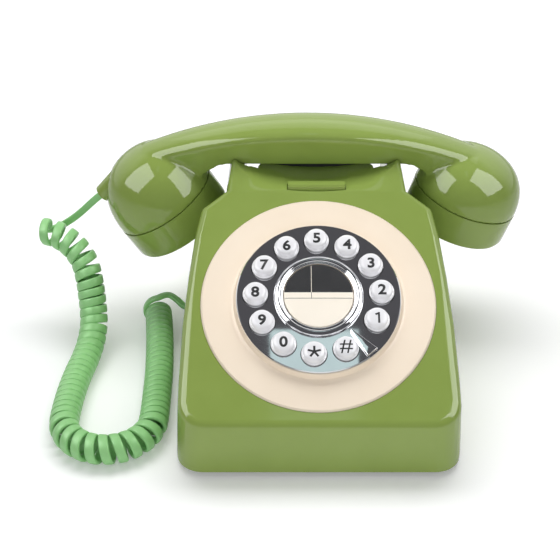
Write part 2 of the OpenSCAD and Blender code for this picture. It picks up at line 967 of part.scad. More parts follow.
// Ringer
gong_r = 24;
gong_h = 15;
gong_t = 1.4;
gong_x = 27.5;
gong_in = 62;
gong_y = back_y - gong_in;
gong_z = base_top + 12;
gong_post_r = 4;
gong_screw_l = 13;
frame_d = 46;
frame_y = gong_y + frame_d;
frame_t = 3;
frame_edge = 8;
coil_r = 6;
coil_l = 14;
coil_x = 11;
coil_in = 39;
coil_y = gong_y + coil_in;
pivot_in = 28;
pivot_y = gong_y + pivot_in;
clapper_z = gong_z + 4;
clapper_ball_r = 2;
clapper_rod_r = 0.9;
clapper_pin_r = 1.5;
clapper_hub_r = 3.6;
clapper_hub_h = 5;

module gong_spots() {
  for (s = [-1, 1])
    translate([s * gong_x, gong_y, 0])
      children();
}

module ringer_frame() {
  hub_z = clapper_z - clapper_hub_h / 2;
  color(steel)
    difference() {
      union() {
        translate([-gong_x - frame_edge, gong_y - frame_edge, base_top])
          cube([2 * (gong_x + frame_edge), frame_y - gong_y + frame_edge, frame_t]);
        gong_spots()
          translate([0, 0, base_top])
            cylinder(r = gong_post_r, h = gong_z + gong_h - gong_t - base_top, $fn = round_fn);
        translate([0, pivot_y, base_top])
          cylinder(r = clapper_hub_r, h = hub_z - seat_gap - base_top, $fn = round_fn);
      }
      gong_spots()
        translate([0, 0, gong_z])
          cylinder(d = screw_d + eps, h = case_w, $fn = round_fn);
      translate([0, pivot_y, base_top + frame_t])
        cylinder(r = clapper_pin_r + pin_gap, h = case_w, $fn = round_fn);
      for (s = [-1, 1])
        translate([s * switch_x - switch_slot_w - switch_room, switch_y - switch_slot_l, 0])
          cube([2 * (switch_slot_w + switch_room), 2 * switch_slot_l, base_top + 2 * frame_t]);
    }
}

module ringer_coil() {
  color("#8a4b2a")
    for (s = [-1, 1])
      translate([s * coil_x, coil_y, base_top + frame_t + coil_r + seat_gap])
        rotate([-90, 0, 0])
          translate([0, 0, -coil_l / 2])
            cylinder(r = coil_r, h = coil_l, $fn = round_fn);
}

module bell_gongs() {
  hole_r = screw_d / 2 + seat_gap;
  crown_r = 14.4;
  brow_r = 20.6;
  brow_z = 11.7;
  rim_z = 4.5;
  color("#c8a85a")
    gong_spots()
      translate([0, 0, gong_z])
        rotate_extrude($fn = 2 * round_fn)
          polygon([[hole_r, gong_h - gong_t], [hole_r, gong_h], [crown_r, gong_h],
                   [brow_r, brow_z], [gong_r, rim_z], [gong_r, 0],
                   [gong_r - gong_t, 0], [gong_r - gong_t, rim_z],
                   [brow_r - gong_t, brow_z - gong_t / 2], [crown_r - gong_t / 2, gong_h - gong_t]]);
}

module gong_screws() {
  color(steel)
    gong_spots()
      translate([0, 0, gong_z + gong_h])
        mirror([0, 0, 1])
          screw(gong_screw_l, 2 * screw_d, dial_head_h);
}

module clapper() {
  color(steel)
    translate([0, pivot_y, clapper_z])
      difference() {
        union() {
          translate([0, 0, -clapper_hub_h / 2])
            cylinder(r = clapper_hub_r, h = clapper_hub_h, $fn = round_fn);
          rotate([90, 0, 0])
            cylinder(r = clapper_rod_r, h = pivot_y - gong_y, $fn = round_fn);
          translate([0, gong_y - pivot_y, 0])
            sphere(r = clapper_ball_r, $fn = round_fn);
        }
        cylinder(r = clapper_pin_r + pin_gap, h = 2 * clapper_hub_h, center = true, $fn = round_fn);
      }
}

module clapper_pin() {
  color(steel)
    translate([0, pivot_y, base_top + frame_t])
      cylinder(r = clapper_pin_r, h = clapper_z + clapper_hub_h - base_top - frame_t, $fn = round_fn);
}

// Sockets and plugs of the handset cord and the line
plug_w = 7.7;
plug_h = 5.9;
plug_l = 11.5;
plug_end_x = -74;
socket_wall = 1.6;
socket_y = 33;
socket_z = 13;
socket_face_x = -side_half(socket_y) + wall + slide_gap;
socket_l = plug_l + slide_gap;
line_x = 26;
line_w = 13.5;
line_h = 12;
line_l = 15;
line_sunk = 0.6;
line_plug_w = 9.8;
line_plug_h = 6.8;

module handset_socket() {
  bore_w = plug_w + seat_gap;
  bore_h = plug_h + seat_gap;
  color(dark_plastic)
    difference() {
      translate([socket_face_x, socket_y - plug_w / 2 - socket_wall, base_top])
        cube([socket_l, plug_w + 2 * socket_wall, socket_z + plug_h / 2 + socket_wall - base_top]);
      translate([socket_face_x - eps, socket_y - bore_w / 2, socket_z - bore_h / 2])
        cube([socket_l - socket_wall + eps, bore_w, bore_h]);
    }
}

module line_socket() {
  color(dark_plastic)
    difference() {
      translate([line_x - line_w / 2 + seat_gap, back_y - line_l, base_top])
        cube([line_w - 2 * seat_gap, line_l - line_sunk, socket_z + line_h / 2 - seat_gap - base_top]);
      translate([line_x - line_plug_w / 2, back_y - line_l + socket_wall, socket_z - line_plug_h / 2])
        cube([line_plug_w, line_l, line_plug_h]);
    }
}

module case_plug() {
  color([0.85, 0.88, 0.86, 0.8])
    translate([plug_end_x, socket_y - plug_w / 2, socket_z - plug_h / 2])
      cube([plug_l, plug_w, plug_h]);
}

// Handset
handset_z = saddle_z + seat_gap;
handle_half = 103;
handle_steps = 36;
dome_steps = 14;
dome_power = 2.3;
crown_steps = 10;
underside_half = 54;
underside_drop = 10;

function arch_z(x) =
  handle_h - handle_arch_r + sqrt(handle_arch_r * handle_arch_r - pow(x - handle_arch_x, 2));
function half_depth(x) = (handle_d + (handle_end_d - handle_d) * pow(abs(x) / handle_half, 2)) / 2;
function underside(x) =
  let (t = min(1, max(0, (abs(x) - underside_half) / (2 * underside_drop))))
  -underside_drop * t * t * (3 - 2 * t);
function crown_point(x, a) =
  [x, half_depth(x) * cos(a), arch_z(x) - handle_crown + handle_crown * sin(a)];
function handle_ring(x) =
  concat([[x, -handle_base_d / 2, underside(x)]],
         [for (i = [0:crown_steps]) crown_point(x, half_turn - half_turn * i / crown_steps)],
         [[x, handle_base_d / 2, underside(x)]]);
handle_rings = [for (i = [0:handle_steps]) handle_ring(handle_half * (2 * i / handle_steps - 1))];

function tube_faces(rings, sides) =
  concat([for (i = [0:rings - 2]) for (j = [0:sides - 1])
            [i * sides + j, i * sides + (j + 1) % sides, (i + 1) * sides + (j + 1) % sides]],
         [for (i = [0:rings - 2]) for (j = [0:sides - 1])
            [i * sides + j, (i + 1) * sides + (j + 1) % sides, (i + 1) * sides + j]],
         [for (j = [1:sides - 2]) [0, j + 1, j]],
         [for (j = [1:sides - 2])
            let (k = (rings - 1) * sides)
            [k, k + j, k + j + 1]]);
function all_points(rings) = [for (ring = rings) for (p = ring) p];

module loft(rings) {
  polyhedron(points = all_points(rings), faces = tube_faces(len(rings), len(rings[0])));
}

module in_handset() {
  translate([0, handset_y, handset_z])
    children();
}

module at_mouth(h = 0) {
  translate([mouth_x, 0, -mouth_drop])
    rotate([0, -mouth_tilt, 0])
      translate([0, 0, h])
        children();
}

module at_ear(h = 0) {
  translate([ear_x, 0, -ear_drop])
    rotate([0, ear_tilt, 0])
      translate([0, 0, h])
        children();
}

module dome(h) {
  function dome_point(a) = [cup_r * pow(cos(a), 2 / dome_power), h * pow(sin(a), 2 / dome_power)];
  rotate_extrude($fn = 2 * round_fn)
    polygon(concat([[0, 0]],
                   [for (i = [0:dome_steps - 1]) dome_point(quarter_turn * i / dome_steps)],
                   [[0, h]]));
}

module cup_bore() {
  translate([0, 0, -eps])
    cylinder(r = cup_bore_r, h = cup_bore_d + eps, $fn = round_fn);
}

module handset_shell() {
  color(case_green)
    in_handset()
      difference() {
        union() {
          loft(handle_rings);
          at_mouth()
            dome(mouth_dome);
          at_ear()
            dome(ear_dome);
        }
        at_mouth()
          cup_bore();
        at_ear()
          cup_bore();
        at_boss(-boss_l)
          cylinder(r1 = boss_root_r + seat_gap, r2 = boss_end_r + seat_gap, h = boss_l, $fn = round_fn);
      }
}

spigot_l = 5;
spigot_t = 2.4;

cap_edge = 3;
cap_side_r = cap_end_r + (cup_r - cap_end_r) * cap_edge / cap_h + 1;
cap_dish_r = 19.8;
cap_floor_r = 16.5;
cap_dish = 1.6;
cap_floor_t = 2.4;

module cap_form() {
  spigot_r = cup_bore_r - seat_gap;
  inside = -cap_h + cap_dish + cap_floor_t;
  rotate_extrude($fn = 2 * round_fn)
    polygon([[spigot_r - spigot_t, spigot_l], [spigot_r, spigot_l], [spigot_r, -seat_gap / 2],
             [cup_r, -seat_gap / 2], [cap_side_r, -cap_h + cap_edge],
             [cap_side_r - cap_edge / 3, -cap_h + cap_edge / 3],
             [cap_side_r - cap_edge, -cap_h], [cap_dish_r, -cap_h], [cap_floor_r, -cap_h + cap_dish],
             [0, -cap_h + cap_dish], [0, inside], [cap_floor_r, inside],
             [spigot_r - spigot_t, inside + cap_edge]]);
}

module cap_holes(counts, pitch) {
  hole_d = 2.3;
  for (k = [0:len(counts) - 1])
    for (i = [0:counts[k] - 1])
      rotate(360 * i / counts[k])
        translate([k * pitch, 0, -cap_h - eps])
          cylinder(d = hole_d, h = cap_h / 2, $fn = soft_fn);
}

module mouth_cap() {
  color(case_green)
    in_handset()
      at_mouth()
        difference() {
          cap_form();
          cap_holes([1, 6], 6);
        }
}

module ear_cap() {
  color(case_green)
    in_handset()
      at_ear()
        difference() {
          cap_form();
          cap_holes([1, 6, 12], 5);
        }
}

capsule_r = cup_bore_r - spigot_t - 2 * seat_gap - slide_gap;
capsule_core_r = 14;

module capsule(h) {
  cylinder(r = capsule_r, h = h, $fn = round_fn);
  cylinder(r = capsule_core_r, h = cup_bore_d - seat_gap, $fn = round_fn);
}

module microphone() {
  color(steel)
    in_handset()
      at_mouth()
        capsule(spigot_l + 2);
}

module receiver() {
  color(steel)
    in_handset()
      at_ear()
        capsule(spigot_l + 3);
}

// Boss on the mouth cup, where the cord leaves the handset
boss_exit = [-129, -25.5];
boss_angle = 40;
boss_root_r = 7.5;
boss_end_r = 5.2;
boss_l = 14;

module at_boss(h = 0) {
  translate([boss_exit[0], 0, boss_exit[1]])
    rotate([0, -90 - boss_angle, 0])
      translate([0, 0, h])
        children();
}

module cord_boss() {
  color(case_green)
    in_handset()
      at_boss(-boss_l)
        cylinder(r1 = boss_root_r, r2 = boss_end_r, h = boss_l, $fn = round_fn);
}

// Curly cord, from the handset's boss round to the socket in the side of the case
lead_top = [[-129, 51, 84.9], [-134, 51, 80.7], [-146, 53, 68.5], [-157, 54.5, 60],
            [-164, 54, 57.5], [-167.5, 52.3, 59.3]];
curl_route = [[-166, 44, 62.3], [-160, 42.2, 62], [-154, 39.8, 60.4], [-148.5, 36.8, 57.6], [-144, 33.5, 54],
              [-140, 29.5, 48.5], [-137.5, 24, 41.5], [-136, 19, 33.5], [-135, 14, 25.5], [-134.5, 7, 18],
              [-135.5, -3, 12.2], [-137.5, -15, 9.4], [-140, -30, 8.8], [-141.8, -49, 8.8],
              [-142.2, -70.5, 8.8],
              [-140.3, -80.1, 8.8], [-134.9, -88.2, 8.8], [-126.7, -93.7, 8.8], [-117.1, -95.6, 8.8],
              [-107.5, -93.7, 8.8], [-99.3, -88.2, 8.8], [-93.9, -80.1, 8.8], [-92, -70.5, 8.8],
              [-92, -48, 8.8], [-92.5, -26, 8.8], [-94, -2, 8.8], [-96, 20, 8.8], [-98, 36, 8.8]];
lead_end = [[-91.5, 39, 18.3], [-86, 37, 16], [-82, 34, 13.7], [-78.6, 33, 13], [-74, 33, 13]];
route_steps = 10;
curl_rings = 8;
cord_sides = 6;
lead_rings = 3;
floor_coil_z = 8.8;
full_turn = 360;
ring_turn = full_turn / curl_rings;
side_turn = full_turn / cord_sides;
curl_mid_r = curl_r - cord_t / 2;
// Steps along a route that its direction and its bend are taken over
near_step = 0.02;
bend_step = 0.1;
// Most of the pitch that a bend may take on its inner side
bend_limit = 0.6;
// Turn and growth of the last curl, which opens over the coil's end towards the socket
open_turn = 180;
open_growth = 0.3;

function point_of(points, i) =
  let (last = len(points) - 1)
  i < 0 ? 2 * points[0] - points[1] : i > last ? 2 * points[last] - points[last - 1] : points[i];
function spline_at(points, u) =
  let (i = min(len(points) - 2, max(0, floor(u))), t = u - i)
  let (a = point_of(points, i - 1), b = point_of(points, i))
  let (c = point_of(points, i + 1), d = point_of(points, i + 2))
  (2 * b + (c - a) * t + (2 * a - 5 * b + 4 * c - d) * t * t + (3 * b - a - 3 * c + d) * t * t * t) / 2;
function unit(v) = v / norm(v);
function route_at(u) = spline_at(curl_route, u);
function route_dir(u) = unit(route_at(u + near_step) - route_at(u - near_step));
function route_bend(u) =
  norm(route_dir(u + bend_step) - route_dir(u - bend_step))
  / norm(route_at(u + bend_step) - route_at(u - bend_step));
function curl_pitch(u) =
  let (hang = max(0, route_at(u)[2] - floor_coil_z))
  (cord_w + curl_gap + curl_stretch * hang) / (1 - min(bend_limit, route_bend(u) * curl_r));
curl_samples = (len(curl_route) - 1) * route_steps;
function turn_between(k) =
  full_turn * norm(route_at((k + 1) / route_steps) - route_at(k / route_steps))
  / curl_pitch((k + 0.5) / route_steps);
free_turns = [for (k = 0, sum = 0; k <= curl_samples; sum = sum + turn_between(k), k = k + 1) sum];
// The curls end at the top of the coil, a quarter turn past a whole one
curl_total = floor(free_turns[curl_samples] / full_turn) * full_turn + quarter_turn;
curl_tighten = curl_total / free_turns[curl_samples];
curl_turns = [for (k = [0:curl_samples]) [free_turns[k] * curl_tighten, k / route_steps]];
curl_ring_count = curl_total / ring_turn;

function ramp(t) = let (s = min(1, max(0, t))) s * s * (3 - 2 * s);
function curl_size(angle) = curl_mid_r * (1 + open_growth * ramp(1 - (curl_total - angle) / open_turn));
function side_dir(u) = unit(cross([0, 0, 1], route_dir(u)));
function lift_dir(u) = cross(route_dir(u), side_dir(u));
function spoke(angle) =
  let (u = lookup(angle, curl_turns))
  cos(angle) * side_dir(u) + sin(angle) * lift_dir(u);
function curl_centre(angle) = route_at(lookup(angle, curl_turns)) + curl_size(angle) * spoke(angle);
lead_in = concat(lead_top, [curl_centre(0), curl_centre(ring_turn)]);
lead_out = concat([curl_centre(curl_total - ring_turn), curl_centre(curl_total)], lead_end);
lead_in_rings = len(lead_top) * lead_rings;
lead_out_rings = len(lead_end) * lead_rings;
cord_centres = concat(
  [for (k = [0:lead_in_rings - 1]) spline_at(lead_in, k / lead_rings)],
  [for (k = [0:curl_ring_count]) curl_centre(k * ring_turn)],
  [for (k = [1:lead_out_rings]) spline_at(lead_out, 1 + k / lead_rings)]);
cord_spokes = concat(
  [for (k = [0:lead_in_rings - 1]) spoke(0)],
  [for (k = [0:curl_ring_count]) spoke(k * ring_turn)],
  [for (k = [1:lead_out_rings]) spoke(curl_total)]);
cord_last = len(cord_centres) - 1;
function cord_dir(k) =
  k == 0 ? unit([-cos(boss_angle), 0, -sin(boss_angle)])
         : k == cord_last ? [1, 0, 0] : unit(cord_centres[k + 1] - cord_centres[k - 1]);
function cord_ring(k) =
  let (d = cord_dir(k), thick = unit(cord_spokes[k] - (cord_spokes[k] * d) * d), wide = cross(d, thick))
  [for (j = [0:cord_sides - 1])
    let (a = side_turn * j)
    cord_centres[k] + cord_w / 2 * cos(a) * wide + cord_t / 2 * sin(a) / sin(side_turn) * thick];

module handset_cord() {
  rings = [for (k = [0:cord_last]) cord_ring(k)];
  gaps = [for (k = [0:cord_last]) for (m = [k + curl_rings - 2:min(cord_last, k + curl_rings + 2)])
            for (p = rings[k]) for (q = rings[m]) norm(p - q)];
  far_gaps = [for (k = [0:cord_last]) for (m = [k + 2 * curl_rings - 3:1:cord_last])
                norm(cord_centres[k] - cord_centres[m]) - cord_w];
  echo(curls = curl_total / full_turn, least_gap = min(min(gaps), min(far_gaps)));
  color("#7fbf78")
    loft(rings);
}

case_shell();
base_plate();
rubber_feet();
base_screws();
ballast_plate();
dial_plate();
dial_disc();
finger_stop();
centre_ring();
redial_button();
redial_card();
redial_lens();
button_1();
button_2();
button_3();
button_4();
button_5();
button_6();
button_7();
button_8();
button_9();
button_0();
button_star();
button_hash();
keypad_mat();
keypad_board();
keypad_screws();
dial_screws();
hook_bar();
hook_bracket();
hook_spring();
hook_switch();
hook_screws();
main_board();
board_parts();
board_screws();
ringer_frame();
ringer_coil();
bell_gongs();
gong_screws();
clapper();
clapper_pin();
level_switch();
tone_switch();
handset_socket();
line_socket();
handset_shell();
mouth_cap();
ear_cap();
microphone();
receiver();
cord_boss();
handset_cord();
case_plug();
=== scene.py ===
import bisect
import json
import math

import bmesh
import bpy
from mathutils import Matrix, Vector


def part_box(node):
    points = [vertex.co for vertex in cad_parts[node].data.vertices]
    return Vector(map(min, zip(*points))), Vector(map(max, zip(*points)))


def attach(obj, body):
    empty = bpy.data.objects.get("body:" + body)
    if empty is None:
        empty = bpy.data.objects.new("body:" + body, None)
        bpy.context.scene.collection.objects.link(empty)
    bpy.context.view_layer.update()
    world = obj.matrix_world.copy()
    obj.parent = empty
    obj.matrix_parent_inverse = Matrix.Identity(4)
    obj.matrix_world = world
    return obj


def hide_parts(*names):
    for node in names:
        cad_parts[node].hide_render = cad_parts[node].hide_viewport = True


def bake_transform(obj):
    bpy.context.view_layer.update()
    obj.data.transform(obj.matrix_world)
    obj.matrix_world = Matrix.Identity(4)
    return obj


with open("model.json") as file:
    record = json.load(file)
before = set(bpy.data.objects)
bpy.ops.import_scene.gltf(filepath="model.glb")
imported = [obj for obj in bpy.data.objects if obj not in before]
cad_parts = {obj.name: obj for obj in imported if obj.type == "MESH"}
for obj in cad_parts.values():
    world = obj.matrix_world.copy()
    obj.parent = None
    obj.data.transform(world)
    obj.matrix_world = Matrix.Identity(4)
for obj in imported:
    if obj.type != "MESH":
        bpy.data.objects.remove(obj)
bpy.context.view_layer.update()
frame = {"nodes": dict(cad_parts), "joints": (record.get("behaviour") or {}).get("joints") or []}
nodes = frame["nodes"]
mm = 0.001

scene = bpy.context.scene
scene.view_settings.view_transform = "Standard"


def hexColour(text):  # sRGB hex to linear
    parts = [int(text[i:i + 2], 16) / 255 for i in (1, 3, 5)]
    linear = [p / 12.92 if p <= 0.04045 else ((p + 0.055) / 1.055) ** 2.4 for p in parts]
    return (*linear, 1.0)


def addNode(tree, kind, settings=None, inputs=None):
    node = tree.nodes.new(kind)
    for name, value in (settings or {}).items():
        setattr(node, name, value)
    for name, value in (inputs or {}).items():
        socket = node.inputs[name]
        if isinstance(value, bpy.types.NodeSocket):
            tree.links.new(value, socket)
        else:
            socket.default_value = value
    return node


def newMaterial(name):
    material = bpy.data.materials.new(name)
    material.use_nodes = True
    tree = material.node_tree
    shader = tree.nodes["Principled BSDF"]
    coords = addNode(tree, "ShaderNodeTexCoord").outputs["Object"]
    return material, tree, shader, coords


noiseSettings = {
    "drift": {"Detail": 3.0, "Roughness": 0.55}, "polish": {"Detail": 4.0}, "grain": {"Detail": 2.0},
    "low": 0.3, "high": 0.7,  # the part of the noise's span that is used
}


def noiseOf(tree, coords, grainMm, kind):
    inputs = {"Vector": coords, "Scale": 1 / (grainMm * mm), **noiseSettings[kind]}
    return addNode(tree, "ShaderNodeTexNoise", None, inputs).outputs["Fac"]


def mottle(tree, shader, coords, darkHex, lightHex, grainMm):  # slight drift of colour over a moulding
    ramp = addNode(tree, "ShaderNodeValToRGB", None, {"Fac": noiseOf(tree, coords, grainMm, "drift")})
    stops = ((noiseSettings["low"], darkHex), (noiseSettings["high"], lightHex))
    for element, (position, colour) in zip(ramp.color_ramp.elements, stops):
        element.position = position
        element.color = hexColour(colour)
    tree.links.new(ramp.outputs["Color"], shader.inputs["Base Color"])


def gloss(tree, shader, coords, low, high, grainMm):  # polish that varies a little, as handled plastic does
    spread = addNode(tree, "ShaderNodeMapRange", None,
                     {"Value": noiseOf(tree, coords, grainMm, "polish"), "From Min": noiseSettings["low"],
                      "From Max": noiseSettings["high"], "To Min": low, "To Max": high})
    tree.links.new(spread.outputs["Result"], shader.inputs["Roughness"])


def grain(tree, shader, coords, grainMm, depthMm, strength):  # fine relief in the surface
    bump = addNode(tree, "ShaderNodeBump", None,
                   {"Height": noiseOf(tree, coords, grainMm, "grain"), "Distance": depthMm * mm,
                    "Strength": strength})
    tree.links.new(bump.outputs["Normal"], shader.inputs["Normal"])


plasticSettings = {  # grains in mm; grain is size, depth and strength
    "ior": 1.53,
    "glossy": {"drift": 28, "polish": 9, "grain": (14, 0.05, 0.06)},
    "matt": {"drift": 12, "polish": 6, "grain": (0.8, 0.05, 0.4)},
    "mattRoughness": (0.45, 0.6),
}


def plastic(name, darkHex, lightHex, low, high, kind):
    settings = plasticSettings[kind]
    material, tree, shader, coords = newMaterial(name)
    mottle(tree, shader, coords, darkHex, lightHex, settings["drift"])
    gloss(tree, shader, coords, low, high, settings["polish"])
    grain(tree, shader, coords, *settings["grain"])
    shader.inputs["IOR"].default_value = plasticSettings["ior"]
    return material


def glossyAbs(name, darkHex, lightHex, low=0.05, high=0.08):  # polished moulding: clear reflections, faint drift
    return plastic(name, darkHex, lightHex, low, high, "glossy")


def mattAbs(name, darkHex, lightHex):  # spark-textured moulding: dull with a fine grain
    return plastic(name, darkHex, lightHex, *plasticSettings["mattRoughness"], "matt")


def plainMetal(name, darkHex, lightHex, low, high, grainMm):  # bare or plated metal
    material, tree, shader, coords = newMaterial(name)
    shader.inputs["Metallic"].default_value = 1.0
    mottle(tree, shader, coords, darkHex, lightHex, grainMm)
    gloss(tree, shader, coords, low, high, grainMm)
    return material


coverSettings = {"colour": "#fbfcfc", "alpha": 0.08, "ior": 1.49, "roughness": (0.02, 0.05), "polish": 6}


def clearCover():  # polished clear acrylic: bright edge, no tint
    material, tree, shader, coords = newMaterial("clear acrylic cover")
    shader.inputs["Base Color"].default_value = hexColour(coverSettings["colour"])
    shader.inputs["Transmission Weight"].default_value = 1.0
    shader.inputs["Alpha"].default_value = coverSettings["alpha"]
    shader.inputs["IOR"].default_value = coverSettings["ior"]
    gloss(tree, shader, coords, *coverSettings["roughness"], coverSettings["polish"])
    return material


greenAbs = glossyAbs("glossy green ABS", "#8a9f4e", "#8ea352")  # olive green, sharp lamp reflections
creamAbs = glossyAbs("satin cream ABS", "#f3e2cc", "#f6e6d1", 0.32, 0.4)  # warm cream, soft sheen
whiteAbs = glossyAbs("polished white ABS", "#f0eff2", "#f4f3f6", 0.08, 0.13)  # cool white, small bright highlights
ivoryCard = glossyAbs("ivory card", "#f0e7d8", "#f4ebdd", 0.5, 0.6)  # dull ivory under the cover
blackPrint = glossyAbs("black printing ink", "#1d1d1f", "#232325", 0.3, 0.4)  # dense black with a slight shine
blackAbs = mattAbs("matt black ABS", "#232426", "#2b2c2e")  # dark, nearly without highlights
darkRubber = mattAbs("moulded black rubber", "#1b1b1c", "#232324")  # darker still, dull
boardLaminate = mattAbs("green board laminate", "#26582f", "#2f6b3c")  # deep green sheet
windingEnamel = mattAbs("enamelled copper winding", "#7a4022", "#8f5230")  # brown-red turns
cordPvc = glossyAbs("soft green PVC cord", "#8ec981", "#96d189", 0.3, 0.4)  # fresh green, broad soft highlights
clearPlug = glossyAbs("clear polycarbonate plug", "#cfd6d0", "#dbe1db", 0.1, 0.16)  # pale and glassy
chromePlate = plainMetal("bright chrome plate", "#dcdddf", "#e4e5e7", 0.012, 0.03, 20)  # mirrors the room
plainSteel = plainMetal("zinc-plated steel", "#9b9ea2", "#adb0b3", 0.25, 0.4, 5)  # grey, blurred reflections
gongBrass = plainMetal("polished brass", "#b5924a", "#c8a85a", 0.15, 0.25, 8)  # yellow, soft reflections
print("materials done")

finishes = {
    "case_shell": greenAbs, "hook_bar": greenAbs, "handset_shell": greenAbs, "mouth_cap": greenAbs,
    "ear_cap": greenAbs, "cord_boss": greenAbs,
    "base_plate": blackAbs, "hook_bracket": blackAbs, "hook_switch": blackAbs, "board_parts": blackAbs,
    "level_switch": blackAbs, "tone_switch": blackAbs, "handset_socket": blackAbs, "line_socket": blackAbs,
    "rubber_feet": darkRubber, "keypad_mat": darkRubber, "dial_plate": creamAbs, "redial_button": creamAbs,
    "redial_card": ivoryCard, "redial_lens": clearCover(), "dial_disc": chromePlate, "finger_stop": chromePlate,
    "centre_ring": chromePlate, "keypad_board": boardLaminate, "main_board": boardLaminate,
    "ringer_coil": windingEnamel, "bell_gongs": gongBrass, "handset_cord": cordPvc, "case_plug": clearPlug,
}
dressSettings = {
    "merge": 0.002, "flat": 1, "crease": 34, "roundSegments": 3,  # mm and degrees
    "rounds": {"finger_stop": 0.45, "hook_bar": 0.5, "base_plate": 0.4},  # mm of rounding on sharp edges
}


def dressNode(name):
    piece = nodes[name]
    finish = whiteAbs if name.startswith("button_") else finishes.get(name, plainSteel)
    piece.data.materials.clear()
    piece.data.materials.append(finish)
    piece.data.polygons.foreach_set("use_smooth", [True] * len(piece.data.polygons))
    weld = piece.modifiers.new("weld", "WELD")
    weld.merge_threshold = dressSettings["merge"] * mm
    crease = math.radians(dressSettings["crease"])
    if name in dressSettings["rounds"]:
        flat = piece.modifiers.new("flat", "DECIMATE")
        flat.decimate_type = "DISSOLVE"
        flat.angle_limit = math.radians(dressSettings["flat"])
        edge = piece.modifiers.new("edge", "BEVEL")
        edge.width = dressSettings["rounds"][name] * mm
        edge.segments = dressSettings["roundSegments"]
        edge.limit_method = "ANGLE"
        edge.angle_limit = crease
    split = piece.modifiers.new("crease", "EDGE_SPLIT")
    split.split_angle = crease
    split.use_edge_sharp = False
    normals = piece.modifiers.new("normals", "WEIGHTED_NORMAL")
    normals.keep_sharp = True


for nodeName in nodes:
    dressNode(nodeName)
nodes["redial_lens"].visible_shadow = False  # clear cover: the card below gets full light
print("nodes dressed")


# Camera at the photograph's angle
cameraSettings = {"place": (-21.1, -615.3, 470.9), "tilt": 56.0, "lens": 81.2, "sensor": 36.0}
cameraData = bpy.data.cameras.new("photoCamera")
cameraData.lens = cameraSettings["lens"]
cameraData.sensor_width = cameraSettings["sensor"]
camera = bpy.data.objects.new("photoCamera", cameraData)
camera.location = Vector(cameraSettings["place"]) * mm
camera.rotation_euler = (math.radians(cameraSettings["tilt"]), 0, 0)
scene.collection.objects.link(camera)
scene.camera = camera


def addPiece(name, mesh, material, body):
    piece = bpy.data.objects.new(name, mesh)
    scene.collection.objects.link(piece)
    mesh.materials.clear()
    mesh.materials.append(material)
    if body:
        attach(piece, body)
    return piece


def meshFrom(bm, name):
    bmesh.ops.recalc_face_normals(bm, faces=bm.faces)
    mesh = bpy.data.meshes.new(name)
    bm.to_mesh(mesh)
    bm.free()
    return mesh


def skin(bm, rings):  # a closed tube over rings of vertices
    for a, b in zip(rings, rings[1:]):
        for j in range(len(a)):
            bm.faces.new((a[j], a[j - 1], b[j - 1], b[j]))
    bm.faces.new(rings[0])
    bm.faces.new(reversed(rings[-1]))


# Curly cord: the route's points and the helix of the solid, with finer rings
cordSettings = {
    "leadTop": [(-129, 51, 84.9), (-134, 51, 80.7), (-146, 53, 68.5), (-157, 54.5, 60), (-164, 54, 57.5),
                (-167.5, 52.3, 59.3)],
    "curls": [(-166, 44, 62.3), (-160, 42.2, 62), (-154, 39.8, 60.4), (-148.5, 36.8, 57.6), (-144, 33.5, 54),
              (-140, 29.5, 48.5), (-137.5, 24, 41.5), (-136, 19, 33.5), (-135, 14, 25.5), (-134.5, 7, 18),
              (-135.5, -3, 12.2), (-137.5, -15, 9.4), (-140, -30, 8.8), (-141.8, -49, 8.8), (-142.2, -70.5, 8.8),
              (-140.3, -80.1, 8.8), (-134.9, -88.2, 8.8), (-126.7, -93.7, 8.8), (-117.1, -95.6, 8.8),
              (-107.5, -93.7, 8.8), (-99.3, -88.2, 8.8), (-93.9, -80.1, 8.8), (-92, -70.5, 8.8), (-92, -48, 8.8),
              (-92.5, -26, 8.8), (-94, -2, 8.8), (-96, 20, 8.8), (-98, 36, 8.8)],
    "leadEnd": [(-91.5, 39, 18.3), (-86, 37, 16), (-82, 34, 13.7), (-78.6, 33, 13), (-74, 33, 13)],
    "width": 4.4, "thickness": 2.6, "curlRadius": 8.4, "curlGap": 0.1, "stretch": 0.025, "floorHeight": 8.8,
    "tableSteps": 10, "ringsPerCurl": 24, "controlTurn": 45, "openTurn": 180, "openGrowth": 0.3, "endTurn": 90,
    "ringsPerLead": 12, "sides": 16, "squareness": 0.55, "spread": 0.6, "spreadMost": 1.0, "length": 2.84,
    "directionStep": 0.02, "bendStep": 0.1, "bendMost": 0.6,
}


def splineAt(points, u):
    last = len(points) - 1
    i = min(last - 1, max(0, math.floor(u)))
    t = u - i
    before = 2 * points[0] - points[1] if i == 0 else points[i - 1]
    after = 2 * points[last] - points[last - 1] if i + 2 > last else points[i + 2]
    b, c = points[i], points[i + 1]
    square = 2 * before - 5 * b + 4 * c - after
    cube = 3 * b - before - 3 * c + after
    return 0.5 * (2 * b + (c - before) * t + square * t * t + cube * t ** 3)


